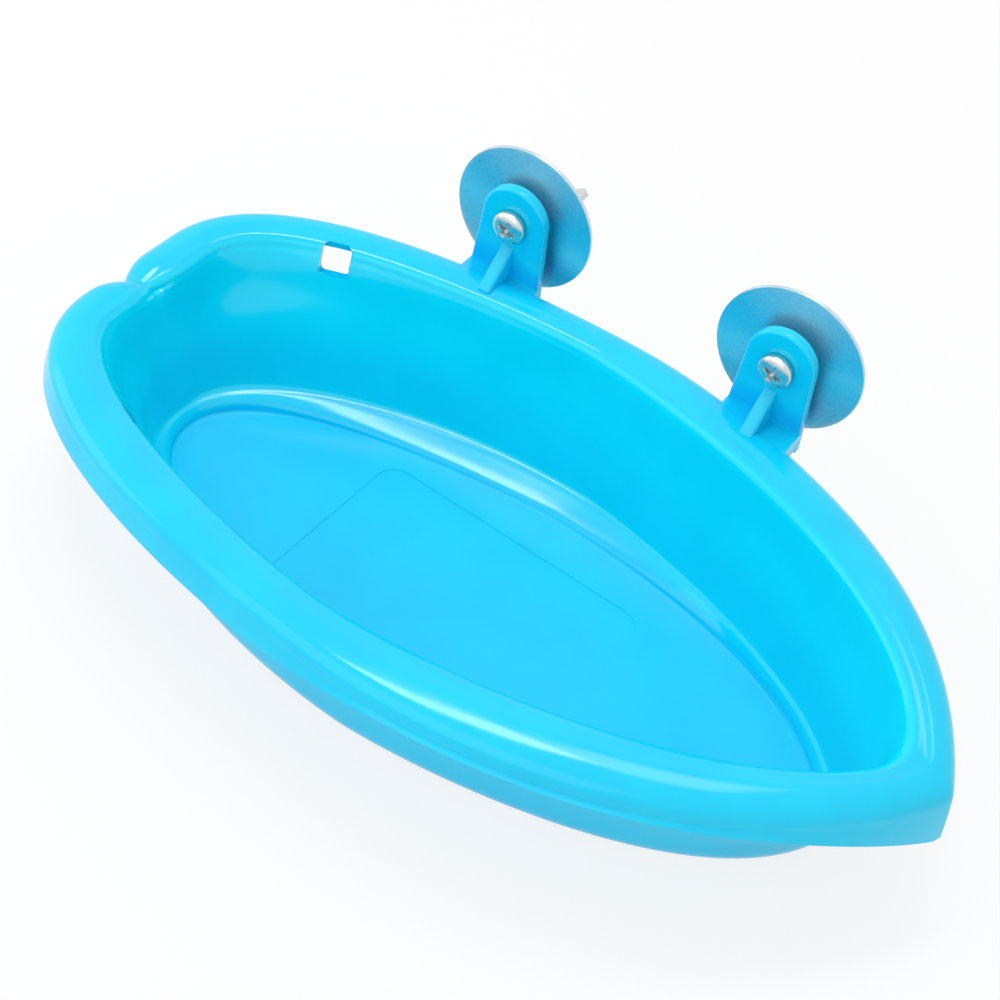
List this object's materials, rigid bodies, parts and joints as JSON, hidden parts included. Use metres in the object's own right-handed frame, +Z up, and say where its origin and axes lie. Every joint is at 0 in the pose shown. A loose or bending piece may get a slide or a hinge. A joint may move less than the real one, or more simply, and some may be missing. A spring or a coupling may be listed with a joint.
{
  "type": "cage bird bath",
  "caption": "Leaf-shaped plastic bird bath with a rolled rim and rear clamp tabs whose screws, wide washers and wing nuts pinch the bars of a cage.",
  "frame": {"origin": "underside of the basin's base, at the middle of the leaf outline", "axes": "+X along the cage wall towards the pointed end, +Y out through the cage wall along the clamp screws, +Z up"},
  "size_m": [0.2148, 0.1351, 0.0728],
  "materials": {
    "polypropylene": "glossy moulded cyan polypropylene",
    "zinc_steel": "bright zinc-plated steel",
    "brushed_steel": "circular-brushed steel"
  },
  "bodies": {
    "basin": {"basin": "polypropylene"},
    "screw_1": {"screw_1": "zinc_steel"},
    "washer_1": {"washer_1": "brushed_steel"},
    "wing_nut_1": {"wing_nut_1": "zinc_steel"},
    "screw_2": {"screw_2": "zinc_steel"},
    "washer_2": {"washer_2": "brushed_steel"},
    "wing_nut_2": {"wing_nut_2": "zinc_steel"}
  },
  "joints": [
    {"name": "screw_1_spin", "type": "hinge", "parent": "basin", "child": "screw_1", "pos_m": [-0.0401, 0.057, 0.0562], "axis": [0, 1, 0], "continuous": true},
    {"name": "washer_1_slide", "type": "slide", "parent": "basin", "child": "washer_1", "axis": [0, 1, 0], "range_m": [-0.0018, 0.0043]},
    {"name": "wing_nut_1_spin", "type": "hinge", "parent": "washer_1", "child": "wing_nut_1", "pos_m": [-0.0401, 0.0636, 0.0562], "axis": [0, 1, 0], "range_deg": [-926, 2212]},
    {"name": "screw_2_spin", "type": "hinge", "parent": "basin", "child": "screw_2", "pos_m": [0.0288, 0.057, 0.0562], "axis": [0, 1, 0], "continuous": true},
    {"name": "washer_2_slide", "type": "slide", "parent": "basin", "child": "washer_2", "axis": [0, 1, 0], "range_m": [-0.0023, 0.0038]},
    {"name": "wing_nut_2_spin", "type": "hinge", "parent": "washer_2", "child": "wing_nut_2", "pos_m": [0.0288, 0.0641, 0.0562], "axis": [0, 1, 0], "range_deg": [-1183, 1955]}
  ],
  "couplings": [
    {"joint": "wing_nut_1_spin", "follows": "washer_1_slide", "rad_per_m": 8976},
    {"joint": "wing_nut_2_spin", "follows": "washer_2_slide", "rad_per_m": 8976}
  ]
}
